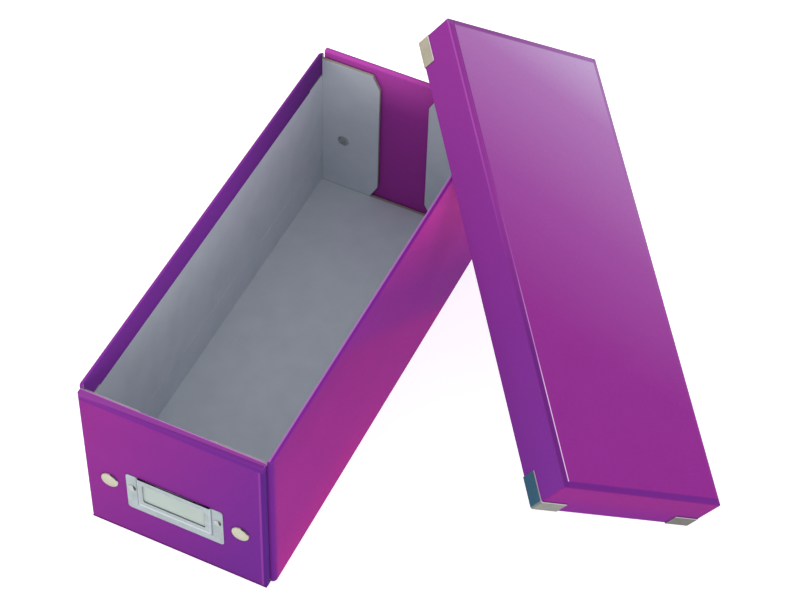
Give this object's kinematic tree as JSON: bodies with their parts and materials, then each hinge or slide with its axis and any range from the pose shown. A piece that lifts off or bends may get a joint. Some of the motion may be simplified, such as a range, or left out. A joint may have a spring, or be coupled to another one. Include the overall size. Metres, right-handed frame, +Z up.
{
  "type": "media storage box with lift-off lid",
  "caption": "Long fold-flat storage box of laminated board with press-studded end panels, a metal label holder and a lift-off lid leaning at its side.",
  "frame": {"origin": "centre of the tray's underside, on the surface it stands on", "axes": "+Z up; -Y towards the front panel with the label holder; +X to the viewer's right, the side where the lid leans"},
  "size_m": [0.3845, 0.4561, 0.1849],
  "materials": {
    "cover_film": "semi-gloss purple laminate with a fine grain",
    "core_board": "grey board",
    "lining_paper": "matt pale grey paper",
    "stud_metal": "satin ivory lacquer",
    "rivet_steel": "bright plated",
    "holder_steel": "satin plated",
    "card_paper": "matt blank card",
    "guard_steel": "satin plated"
  },
  "bodies": {
    "tray": {"floor_board": "core_board", "floor_cover": "cover_film", "floor_lining": "lining_paper", "left_wall_board": "core_board", "right_wall_board": "core_board", "left_wall_cover": "cover_film", "right_wall_cover": "cover_film", "left_wall_lining": "lining_paper", "right_wall_lining": "lining_paper", "front_left_flap": "core_board", "front_right_flap": "core_board", "rear_left_flap": "core_board", "rear_right_flap": "core_board", "front_flap_linings": "lining_paper", "rear_flap_linings": "lining_paper", "front_studs": "rivet_steel", "rear_studs": "rivet_steel", "front_stud_backs": "rivet_steel", "rear_stud_backs": "rivet_steel"},
    "front_panel": {"front_outer_board": "core_board", "front_inner_board": "core_board", "front_panel_cover": "cover_film", "front_stud_caps": "stud_metal", "front_stud_sockets": "rivet_steel", "front_stud_springs": "rivet_steel", "label_holder": "holder_steel", "label_rivets": "rivet_steel"},
    "rear_panel": {"rear_outer_board": "core_board", "rear_inner_board": "core_board", "rear_panel_cover": "cover_film", "rear_stud_caps": "stud_metal", "rear_stud_sockets": "rivet_steel", "rear_stud_springs": "rivet_steel"},
    "card": {"label_card": "card_paper"},
    "lid": {"lid_top_board": "core_board", "lid_left_skirt": "core_board", "lid_right_skirt": "core_board", "lid_front_skirt": "core_board", "lid_rear_skirt": "core_board", "lid_cover": "cover_film", "lid_lining": "lining_paper", "lid_guard_front_left": "guard_steel", "lid_guard_front_right": "guard_steel", "lid_guard_rear_left": "guard_steel", "lid_guard_rear_right": "guard_steel"}
  },
  "joints": [
    {"name": "front_panel_fold", "type": "hinge", "parent": "tray", "child": "front_panel", "pos_m": [0, -0.177, 0], "axis": [1, 0, 0], "range_deg": [0, 86]},
    {"name": "rear_panel_fold", "type": "hinge", "parent": "tray", "child": "rear_panel", "pos_m": [0, 0.177, 0], "axis": [-1, 0, 0], "range_deg": [0, 18]},
    {"name": "label_card_slide", "type": "slide", "parent": "front_panel", "child": "card", "axis": [0, 0, 1], "range_m": [0, 0.03]},
    {"name": "lid_swing", "type": "hinge", "parent": "tray", "child": "lid", "pos_m": [-0.04654, 0.17179, 0.04415], "axis": [-0.0259, -0.6752, -0.7372], "range_deg": [0, 54.07]}
  ]
}
